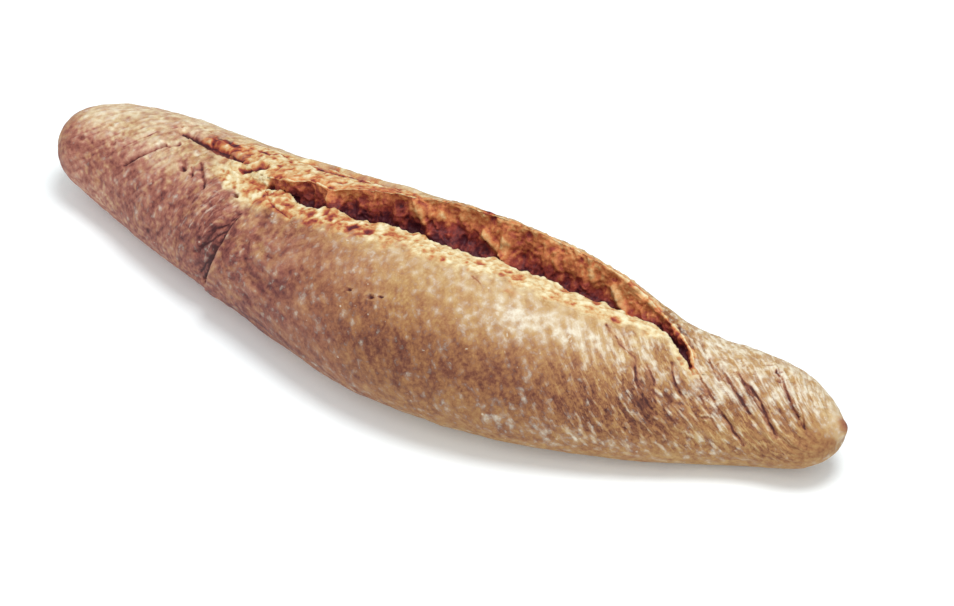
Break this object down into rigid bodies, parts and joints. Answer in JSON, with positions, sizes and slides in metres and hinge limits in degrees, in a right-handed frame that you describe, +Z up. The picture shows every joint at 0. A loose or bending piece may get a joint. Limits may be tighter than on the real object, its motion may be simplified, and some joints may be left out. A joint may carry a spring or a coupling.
{
  "type": "half baguette",
  "caption": "Small crusty half baguette loaf with a long split along its top, rounded tips and a flat sole, for bakery and kitchen scenes.",
  "frame": {"origin": "on the floor under the middle of the loaf's box, on its flat sole", "axes": "+X along the loaf towards its puckered narrow tip, +Y towards the far side, which carries the raised ear, +Z up"},
  "size_m": [0.27, 0.0754, 0.0499],
  "materials": {
    "crust": "matte baked crust, floury"
  },
  "bodies": {
    "root": {"baguette": "crust"}
  },
  "joints": []
}
